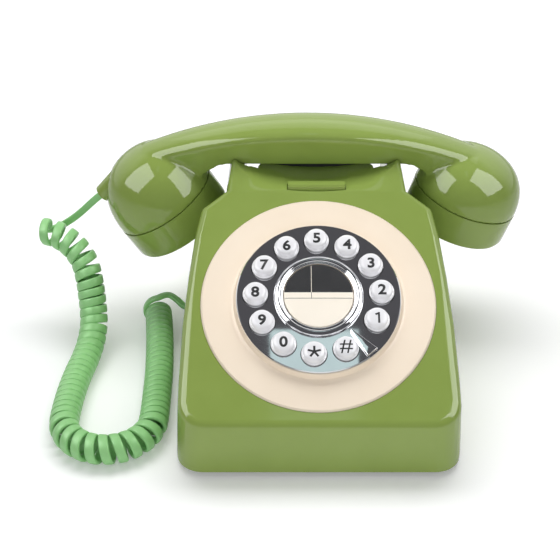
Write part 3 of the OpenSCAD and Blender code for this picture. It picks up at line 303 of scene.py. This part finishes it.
def cordLine():
    curls = [Vector(p) for p in cordSettings["curls"]]
    steps = cordSettings["tableSteps"]
    middle = cordSettings["curlRadius"] - cordSettings["thickness"] / 2
    opening = math.radians(cordSettings["openTurn"])
    near = math.radians(cordSettings["controlTurn"])

    def at(u):
        return splineAt(curls, u)

    def direction(u):
        step = cordSettings["directionStep"]
        return (at(u + step) - at(u - step)).normalized()

    def bend(u):
        a, b = u - cordSettings["bendStep"], u + cordSettings["bendStep"]
        return (direction(b) - direction(a)).length / (at(b) - at(a)).length

    def pitch(u):
        hang = max(0, at(u).z - cordSettings["floorHeight"])
        loose = cordSettings["width"] + cordSettings["curlGap"] + cordSettings["stretch"] * hang
        return loose / (1 - min(cordSettings["bendMost"], bend(u) * cordSettings["curlRadius"]))

    turns = [0.0]
    for k in range((len(curls) - 1) * steps):
        stride = (at((k + 1) / steps) - at(k / steps)).length
        turns.append(turns[-1] + 2 * math.pi * stride / pitch((k + 0.5) / steps))
    wholeTurns = math.floor(turns[-1] / (2 * math.pi))
    total = wholeTurns * 2 * math.pi + math.radians(cordSettings["endTurn"])
    turns = [turn * total / turns[-1] for turn in turns]

    def placeOf(turn):
        row = min(len(turns) - 2, max(0, bisect.bisect_right(turns, turn) - 1))
        return (row + (turn - turns[row]) / (turns[row + 1] - turns[row])) / steps

    def spoke(turn):
        u = placeOf(turn)
        side = Vector((0, 0, 1)).cross(direction(u)).normalized()
        return math.cos(turn) * side + math.sin(turn) * direction(u).cross(side)

    def curlAt(turn):
        s = min(1, max(0, 1 - (total - turn) / opening))
        radius = middle * (1 + cordSettings["openGrowth"] * s * s * (3 - 2 * s))
        return at(placeOf(turn)) + radius * spoke(turn)

    leadIn = [Vector(p) for p in cordSettings["leadTop"]] + [curlAt(0), curlAt(near)]
    leadOut = [curlAt(total - near), curlAt(total)] + [Vector(p) for p in cordSettings["leadEnd"]]
    perLead = cordSettings["ringsPerLead"]
    ringTurn = 2 * math.pi / cordSettings["ringsPerCurl"]
    width = cordSettings["width"]

    def widthAt(turn):  # the flat band spreads a little where the curls stand apart, but not at its ends
        share = min(1, turn / opening, (total - turn) / opening)
        spread = cordSettings["spread"] * (pitch(placeOf(turn)) - width)
        return width + share * min(cordSettings["spreadMost"], max(0, spread))

    line = [(splineAt(leadIn, k / perLead), spoke(0), width)
            for k in range(len(cordSettings["leadTop"]) * perLead)]
    line += [(curlAt(k * ringTurn), spoke(k * ringTurn), widthAt(k * ringTurn))
             for k in range(round(total / ringTurn) + 1)]
    line += [(splineAt(leadOut, 1 + k / perLead), spoke(total), width)
             for k in range(1, len(cordSettings["leadEnd"]) * perLead + 1)]
    return line


def squared(value):  # pulls a circle's sine or cosine out towards a rounded rectangle
    return math.copysign(abs(value) ** cordSettings["squareness"], value)


def buildCord():
    line = cordLine()
    bm = bmesh.new()
    rings = []
    for k, (centre, spoke, width) in enumerate(line):
        along = line[min(k + 1, len(line) - 1)][0] - line[max(k - 1, 0)][0]
        along.normalize()
        thick = (spoke - spoke.dot(along) * along).normalized()
        wide = along.cross(thick)
        ring = []
        for j in range(cordSettings["sides"]):
            turn = 2 * math.pi * j / cordSettings["sides"]
            place = centre + width / 2 * squared(math.cos(turn)) * wide
            place += cordSettings["thickness"] / 2 * squared(math.sin(turn)) * thick
            ring.append(bm.verts.new(place * mm))
        rings.append(ring)
    skin(bm, rings)
    for face in bm.faces:
        face.smooth = len(face.verts) == 4
    cord = addPiece("handsetCord", meshFrom(bm, "handsetCord"), cordPvc, None)
    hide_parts("handset_cord")
    path = [tuple(place[0] * mm) for place in line]
    measured = sum((Vector(b) - Vector(a)).length for a, b in zip(path, path[1:]))
    print("cord length", round(measured, 3))
    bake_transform(cord)


buildCord()
print("cord done")


# Dial frame: the press direction of the redial button is the dial's normal turned round
redialAxis = Vector(next(j for j in frame["joints"] if j["name"] == "redial_press")["axis"])
dialTilt = math.atan2(redialAxis.y, -redialAxis.z)


def middleOf(nodeName):
    low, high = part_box(nodeName)
    return (low + high) / 2


dialMatrix = Matrix.Translation(middleOf("dial_disc")) @ Matrix.Rotation(dialTilt, 4, "X")
dialNormal = dialMatrix.to_3x3() @ Vector((0, 0, 1))


def topOf(nodeName):  # the point of a node that stands furthest out of the dial
    places = (vertex.co.copy() for vertex in nodes[nodeName].data.vertices)
    return max(places, key=lambda place: place.dot(dialNormal))


def heightOf(nodeName):  # how far that point stands over the disc's middle
    return topOf(nodeName).dot(dialNormal) - dialMatrix.translation.dot(dialNormal)


def capPlace(nodeName):
    return Matrix.Translation(topOf(nodeName)) @ dialMatrix.to_3x3().to_4x4()


def revolve(profile, steps, place):  # a closed turn of a profile of radius and height in mm, set at a place
    bm = bmesh.new()
    verts = [bm.verts.new((radius * mm, 0, height * mm)) for radius, height in profile]
    edges = [bm.edges.new(pair) for pair in zip(verts, verts[1:])]
    bmesh.ops.spin(bm, geom=verts + edges, cent=(0, 0, 0), axis=(0, 0, 1), angle=2 * math.pi, steps=steps,
                   use_merge=True)
    bmesh.ops.remove_doubles(bm, verts=bm.verts, dist=0.001 * mm)
    bmesh.ops.transform(bm, matrix=place, verts=bm.verts)
    for face in bm.faces:
        face.smooth = True
    return bm


# Button caps: a gently domed top that rolls over into a flared wall, on a narrow foot ring
buttonSettings = {
    "profile": [(0, 0), (1.2, -0.015), (2.4, -0.06), (3.4, -0.14), (4.2, -0.26), (4.8, -0.42), (5.3, -0.68),
                (5.7, -1.05), (5.98, -1.55), (6.18, -2.2), (6.32, -2.9), (6.4, -3.5), (6.45, -3.68), (6.55, -3.76),
                (6.7, -3.8), (6.82, -3.86), (6.88, -3.98), (6.9, -4.2), (6.9, -6.3), (0, -6.3)],
    "steps": 72,
}


def buildButton(nodeName):
    bm = revolve(buttonSettings["profile"], buttonSettings["steps"], capPlace(nodeName))
    piece = addPiece(nodeName + "Cap", meshFrom(bm, nodeName + "Cap"), whiteAbs, nodeName)
    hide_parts(nodeName)


# Numerals on the button crowns
numeralSettings = {
    "labels": {"button_1": "1", "button_2": "2", "button_3": "3", "button_4": "4", "button_5": "5",
               "button_6": "6", "button_7": "7", "button_8": "8", "button_9": "9", "button_0": "0",
               "button_star": "*", "button_hash": "#"},
    "height": 6.3, "widen": 1.1, "bold": 0.032, "lift": 0.03, "depth": 0.05, "rise": -0.6, "longest": 0.7,
    "hashSize": 1.2, "barHalf": 0.5, "starArm": 3.1, "starArms": 5, "flag": (-1.7, 1.3),
    "curveSteps": 6, "merge": 1e-5, "cutRounds": 3,
}


def barGlyph(bars):  # straight strokes from one point to another, with flat ends
    bm = bmesh.new()
    half = numeralSettings["barHalf"]
    for a, b in bars:
        a, b = Vector(a), Vector(b)
        across = (b - a).orthogonal().normalized() * half
        corners = (a - across, a + across, b + across, b - across)
        bm.faces.new([bm.verts.new((*corner, 0)) for corner in corners])
    mesh = bpy.data.meshes.new("glyph")
    bm.to_mesh(mesh)
    bm.free()
    return mesh


def glyphMesh(label):
    if label == "*":
        arms = numeralSettings["starArms"]
        ways = [math.radians(90 + 360 * k / arms) for k in range(arms)]
        reach = numeralSettings["starArm"]
        return barGlyph([((0, 0), (reach * math.cos(way), reach * math.sin(way))) for way in ways])
    if label == "1":
        top = numeralSettings["height"] / 2
        half = numeralSettings["barHalf"]
        flagX, flagDrop = numeralSettings["flag"]
        return barGlyph([((0, -top), (0, top)), ((half / 2, top - half), (flagX, top - flagDrop))])
    letter = bpy.data.curves.new("glyph", "FONT")
    letter.body = label
    letter.offset = 0 if label == "#" else numeralSettings["bold"]
    letter.resolution_u = numeralSettings["curveSteps"]
    holder = bpy.data.objects.new("glyph", letter)
    scene.collection.objects.link(holder)
    bpy.context.view_layer.update()
    mesh = bpy.data.meshes.new_from_object(holder.evaluated_get(bpy.context.evaluated_depsgraph_get()))
    bpy.data.objects.remove(holder)
    return mesh


def crownHeight(radius):  # height of the cap's surface over its middle
    profile = buttonSettings["profile"]
    for (r0, z0), (r1, z1) in zip(profile, profile[1:]):
        if r0 <= radius <= r1:
            return z0 + (z1 - z0) * (radius - r0) / (r1 - r0)


def addNumeral(nodeName, label):
    mesh = glyphMesh(label)
    bm = bmesh.new()
    bm.from_mesh(mesh)
    bmesh.ops.remove_doubles(bm, verts=bm.verts, dist=numeralSettings["merge"])
    low = Vector([min(v.co[i] for v in bm.verts) for i in range(3)])
    high = Vector([max(v.co[i] for v in bm.verts) for i in range(3)])
    size = numeralSettings["height"] / (high.y - low.y)
    if label == "#":
        size *= numeralSettings["hashSize"]
    bmesh.ops.translate(bm, verts=bm.verts, vec=-(low + high) / 2)
    bmesh.ops.scale(bm, verts=bm.verts, vec=(size * numeralSettings["widen"], size, size))
    for turn in range(numeralSettings["cutRounds"]):
        longEdges = [e for e in bm.edges if e.calc_length() > numeralSettings["longest"]]
        bmesh.ops.subdivide_edges(bm, edges=longEdges, cuts=1)
    bmesh.ops.triangulate(bm, faces=bm.faces)
    bmesh.ops.translate(bm, verts=bm.verts, vec=(0, numeralSettings["rise"], 0))
    for vertex in bm.verts:
        vertex.co.z = numeralSettings["lift"] + crownHeight(vertex.co.xy.length)
    bmesh.ops.scale(bm, verts=bm.verts, vec=(mm, mm, mm))
    bmesh.ops.transform(bm, matrix=capPlace(nodeName), verts=bm.verts)
    bm.normal_update()
    if sum(face.normal.dot(dialNormal) for face in bm.faces) < 0:
        bmesh.ops.reverse_faces(bm, faces=bm.faces)
    bm.to_mesh(mesh)
    bm.free()
    mesh.name = "numeral_" + nodeName
    piece = addPiece("numeral_" + nodeName, mesh, blackPrint, nodeName)
    shell = piece.modifiers.new("ink", "SOLIDIFY")
    shell.thickness = numeralSettings["depth"] * mm
    shell.offset = 1.0


for nodeName, label in numeralSettings["labels"].items():
    addNumeral(nodeName, label)
    buildButton(nodeName)
print("buttons done")


# Centre ring: a rounded bright band, a groove and a fine inner lip
ringSettings = {
    "profile": [(24.5, 0), (24.5, 0.7), (24.42, 1.15), (24.15, 1.6), (23.75, 2.0), (23.2, 2.35), (22.6, 2.55),
                (22.0, 2.6), (21.5, 2.45), (21.1, 2.1), (20.9, 1.6), (20.8, 1.55), (20.7, 1.7), (20.45, 2.0),
                (20.1, 2.1), (19.75, 2.0), (19.5, 1.75), (19.4, 1.4), (19.4, 0), (24.5, 0)],
    "steps": 144,
}


def buildRing():
    place = dialMatrix @ Matrix.Translation((0, 0, heightOf("dial_disc")))
    bm = revolve(ringSettings["profile"], ringSettings["steps"], place)
    piece = addPiece("centreRingTurned", meshFrom(bm, "centreRingTurned"), chromePlate, "base")
    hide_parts("centre_ring")


buildRing()
print("ring done")


# Printing on the redial card: a black and an ivory field, a line in the ivory one and an upright through both
cardSettings = {
    "radius": 18.9, "fieldLow": 1.8, "lineLow": -1.8, "lineWidth": 0.28, "lineShort": 0.4, "uprightX": -3.9,
    "depth": 0.04, "segments": 128,
}


def addPrint(name, limits, radius, material, level):  # a disc without what lies on each limit's normal side
    bm = bmesh.new()
    bmesh.ops.create_circle(bm, cap_ends=True, segments=cardSettings["segments"], radius=radius * mm)
    for place, normal in limits:
        bmesh.ops.bisect_plane(bm, geom=bm.verts[:] + bm.edges[:] + bm.faces[:], plane_co=Vector(place) * mm,
                               plane_no=normal, clear_outer=True)
    solid = bmesh.ops.extrude_face_region(bm, geom=bm.faces[:])
    lifted = [part for part in solid["geom"] if isinstance(part, bmesh.types.BMVert)]
    bmesh.ops.translate(bm, verts=lifted, vec=(0, 0, cardSettings["depth"] * mm))
    bmesh.ops.translate(bm, verts=bm.verts, vec=(0, 0, heightOf("redial_card") + level * mm))
    bmesh.ops.transform(bm, matrix=dialMatrix, verts=bm.verts)
    addPiece(name, meshFrom(bm, name), material, "redial")


def printCard():
    half = cardSettings["lineWidth"] / 2
    up, down, left, right = (0, 1, 0), (0, -1, 0), (-1, 0, 0), (1, 0, 0)
    radius = cardSettings["radius"]
    inner = radius - cardSettings["lineShort"]
    field = cardSettings["fieldLow"]
    line = cardSettings["lineLow"]
    upright = cardSettings["uprightX"]
    over = cardSettings["depth"]
    addPrint("cardField", [((0, field, 0), down)], radius, blackPrint, 0)
    addPrint("cardGround", [((0, field, 0), up)], radius, ivoryCard, 0)
    addPrint("cardLine", [((0, line - half, 0), down), ((0, line + half, 0), up)], inner, blackPrint, over)
    sides = [((upright - half, 0, 0), left), ((upright + half, 0, 0), right)]
    addPrint("cardUprightDark", sides + [((0, line, 0), down), ((0, field, 0), up)], radius, blackPrint, over)
    addPrint("cardUprightPale", sides + [((0, field, 0), down)], inner, ivoryCard, over)


printCard()
print("card done")


# Handset shell: a merged copy of the solid, remeshed finely and eased so that the dome runs into the handle
handsetSettings = {"merge": 0.002, "voxel": 1.0, "easeSteps": 6, "easeFactor": 0.5}


def easedCopy(nodeName, pieceName, body, material, settings):
    mesh = nodes[nodeName].data.copy()
    bm = bmesh.new()
    bm.from_mesh(mesh)
    bmesh.ops.remove_doubles(bm, verts=bm.verts, dist=settings["merge"] * mm)
    bm.to_mesh(mesh)
    bm.free()
    piece = addPiece(pieceName, mesh, material, body)
    remesh = piece.modifiers.new("fine", "REMESH")
    remesh.mode = "VOXEL"
    remesh.voxel_size = settings["voxel"] * mm
    remesh.use_smooth_shade = True
    ease = piece.modifiers.new("ease", "SMOOTH")
    ease.factor = settings["easeFactor"]
    ease.iterations = settings["easeSteps"]
    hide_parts(nodeName)


easedCopy("handset_shell", "handsetShell", "handset", greenAbs, handsetSettings)
print("handset done")


# Painted shade: a black strip just behind the tongue and below the handle, standing where the gap shows only shade
lipSettings = {
    "half": 33, "steps": 44, "near": 48.6, "far": 50, "foot": 99,
    "troughLow": 104.8, "troughA": 50, "troughB": 15.5, "overMiddle": 2.2, "overEnd": 0.3,
}


def buildLip():
    half = lipSettings["half"]
    bm = bmesh.new()
    rows = []
    for k in range(lipSettings["steps"] + 1):
        x = half * (2 * k / lipSettings["steps"] - 1)
        curve = 1 - math.sqrt(1 - (x / lipSettings["troughA"]) ** 2)
        share = abs(x) / half
        over = lipSettings["overMiddle"] + share * (lipSettings["overEnd"] - lipSettings["overMiddle"])
        top = lipSettings["troughLow"] + lipSettings["troughB"] * curve + over
        corners = ((lipSettings["near"], lipSettings["foot"]), (lipSettings["far"], lipSettings["foot"]),
                   (lipSettings["far"], top), (lipSettings["near"], top))
        rows.append([bm.verts.new(Vector((x, y, z)) * mm) for y, z in corners])
    skin(bm, rows)
    # painted shade: this black strip stands in for the shade in the gap under the handle
    addPiece("paintedShadeStrip", meshFrom(bm, "paintedShadeStrip"), blackAbs, "base")


buildLip()
print("lip done")


# Floor, lights and world
floorSettings = {
    "half": 3.0, "colours": ("#f4f4f4", "#f6f6f6"), "mottle": 60, "roughness": 0.8,
    "glow": (0.18, 0.75), "glowFrom": 0.15, "glowTo": 0.8,  # metres from the middle
}


def buildFloor():
    material, tree, shader, coords = newMaterial("white paper sweep")
    mottle(tree, shader, coords, *floorSettings["colours"], floorSettings["mottle"])
    shader.inputs["Roughness"].default_value = floorSettings["roughness"]
    shader.inputs["Emission Color"].default_value = hexColour(floorSettings["colours"][1])
    away = addNode(tree, "ShaderNodeVectorMath", {"operation": "LENGTH"}, {0: coords})
    low, high = floorSettings["glow"]
    glow = addNode(tree, "ShaderNodeMapRange", {"interpolation_type": "SMOOTHSTEP"},
                   {"Value": away.outputs["Value"], "From Min": floorSettings["glowFrom"],
                    "From Max": floorSettings["glowTo"], "To Min": low, "To Max": high})
    rays = addNode(tree, "ShaderNodeLightPath")  # a white sweep that adds no light
    shown = addNode(tree, "ShaderNodeMath", {"operation": "MULTIPLY"},
                    {0: glow.outputs["Result"], 1: rays.outputs["Is Camera Ray"]})
    tree.links.new(shown.outputs[0], shader.inputs["Emission Strength"])
    bm = bmesh.new()
    bmesh.ops.create_grid(bm, x_segments=2, y_segments=2, size=floorSettings["half"])
    mesh = bpy.data.meshes.new("floor")
    bm.to_mesh(mesh)
    bm.free()
    mesh.materials.append(material)
    floor = bpy.data.objects.new("floor", mesh)
    scene.collection.objects.link(floor)


def buildLamp(name, place, target, width, height, watts, lights=True, mirrored=True):
    lamp = bpy.data.lights.new(name, "AREA")
    lamp.shape = "RECTANGLE"
    lamp.size = width
    lamp.size_y = height
    lamp.energy = watts
    piece = bpy.data.objects.new(name, lamp)
    piece.location = place
    piece.rotation_euler = (Vector(target) - Vector(place)).to_track_quat("-Z", "Y").to_euler()
    piece.visible_diffuse = lights
    piece.visible_glossy = mirrored
    scene.collection.objects.link(piece)


worldSettings = {
    "fill": "#f4f6f8", "fillStrength": 0.32, "backdrop": "#fefefe", "wall": 0.95, "room": "#59585b",
    "wallNear": -0.1, "wallFar": 0.5, "ceilingFrom": 0.62, "ceilingTo": 0.9, "board": "#d6eaea",
    "boardNear": -0.06, "boardFar": -0.3, "boardLeft": -0.008, "boardRight": 0.062,
}


def buildWorld():  # in reflections: a white wall behind, and a dark room with a pale blue board over the camera
    world = bpy.data.worlds.new("studio")
    scene.world = world
    world.use_nodes = True
    tree = world.node_tree
    tree.nodes.clear()
    rays = addNode(tree, "ShaderNodeLightPath")
    ways = addNode(tree, "ShaderNodeTexCoord")
    parts = addNode(tree, "ShaderNodeSeparateXYZ", None, {0: ways.outputs["Generated"]})
    behind = addNode(tree, "ShaderNodeMapRange", {"interpolation_type": "SMOOTHSTEP"},
                     {"Value": parts.outputs["Y"], "From Min": worldSettings["wallNear"],
                      "From Max": worldSettings["wallFar"]})
    below = addNode(tree, "ShaderNodeMapRange", {"interpolation_type": "SMOOTHSTEP"},
                    {"Value": parts.outputs["Z"], "From Min": worldSettings["ceilingTo"],
                     "From Max": worldSettings["ceilingFrom"]})
    wall = addNode(tree, "ShaderNodeMath", {"operation": "MULTIPLY"},
                   {0: behind.outputs["Result"], 1: below.outputs["Result"]})
    white = [worldSettings["wall"]] * 3 + [1.0]
    room = addNode(tree, "ShaderNodeMix", {"data_type": "RGBA"},
                   {"Factor": wall.outputs[0], 6: hexColour(worldSettings["room"]), 7: white})
    edges = [("Y", "LESS_THAN", "boardNear"), ("Y", "GREATER_THAN", "boardFar"),
             ("X", "GREATER_THAN", "boardLeft"), ("X", "LESS_THAN", "boardRight"),
             ("Z", "GREATER_THAN", "ceilingTo")]
    inside = 1.0
    for axis, test, limit in edges:
        side = addNode(tree, "ShaderNodeMath", {"operation": test},
                       {0: parts.outputs[axis], 1: worldSettings[limit]})
        both = addNode(tree, "ShaderNodeMath", {"operation": "MULTIPLY"}, {0: inside, 1: side.outputs[0]})
        inside = both.outputs[0]
    board = addNode(tree, "ShaderNodeMix", {"data_type": "RGBA"},
                    {"Factor": inside, 6: room.outputs[2], 7: hexColour(worldSettings["board"])})
    seen = addNode(tree, "ShaderNodeMath", {"operation": "MAXIMUM"},
                   {0: rays.outputs["Is Camera Ray"], 1: rays.outputs["Is Transmission Ray"]})
    fill = addNode(tree, "ShaderNodeBackground", None,
                   {"Color": hexColour(worldSettings["fill"]), "Strength": worldSettings["fillStrength"]})
    mirrored = addNode(tree, "ShaderNodeBackground", None, {"Color": board.outputs[2]})
    backdrop = addNode(tree, "ShaderNodeBackground", None, {"Color": hexColour(worldSettings["backdrop"])})
    lit = addNode(tree, "ShaderNodeMixShader", None,
                  {0: rays.outputs["Is Glossy Ray"], 1: fill.outputs[0], 2: mirrored.outputs[0]})
    mix = addNode(tree, "ShaderNodeMixShader", None,
                  {0: seen.outputs[0], 1: lit.outputs[0], 2: backdrop.outputs[0]})
    addNode(tree, "ShaderNodeOutputWorld", None, {"Surface": mix.outputs[0]})


buildFloor()
sideBox = {"target": (0, 0.046, 0.06), "width": 0.38, "height": 0.45, "watts": 2.5, "lights": False}
lampSettings = {
    "leftBox": {"place": (-0.35, -0.1, 0.41), **sideBox},
    "rightBox": {"place": (0.35, -0.1, 0.41), **sideBox},
    "topBox": {"place": (0, 0.24, 0.8), "target": (0, 0, 0.06), "width": 0.9, "height": 0.36, "watts": 5.3,
               "mirrored": False},
    "frontBox": {"place": (0, -0.8, 0.3), "target": (0, 0, 0.06), "width": 0.9, "height": 0.3, "watts": 2.1,
                 "mirrored": False},
    "backBox": {"place": (0, 0.5, 0.65), "target": (0, 0.02, 0.1), "width": 0.8, "height": 0.4, "watts": 0.6},
}
for lampName, settings in lampSettings.items():
    buildLamp(lampName, **settings)
buildWorld()
print("stage done")
